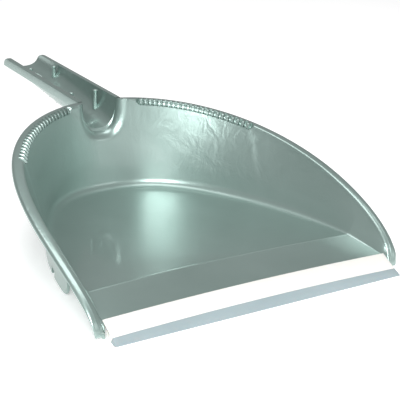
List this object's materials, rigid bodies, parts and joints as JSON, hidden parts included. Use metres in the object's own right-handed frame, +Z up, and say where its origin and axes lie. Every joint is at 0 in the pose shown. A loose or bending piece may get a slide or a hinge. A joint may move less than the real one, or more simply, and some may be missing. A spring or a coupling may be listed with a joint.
{
  "type": "dust pan",
  "caption": "Dust pan with a deep rounded tray, flat rim with comb teeth, hollow channel handle and a white front lip with a soft grey blade.",
  "frame": {"origin": "centre of the footprint's bounding box, at table level", "axes": "+X to the pan's right seen from behind the lip, +Y from the lip towards the handle, +Z up"},
  "size_m": [0.2738, 0.375, 0.096],
  "materials": {
    "pan": "pearl",
    "strip": "satin",
    "blade": "satin"
  },
  "bodies": {
    "root": {"pan_body": "pan", "lip_carrier": "strip", "lip_blade": "blade"}
  },
  "joints": []
}
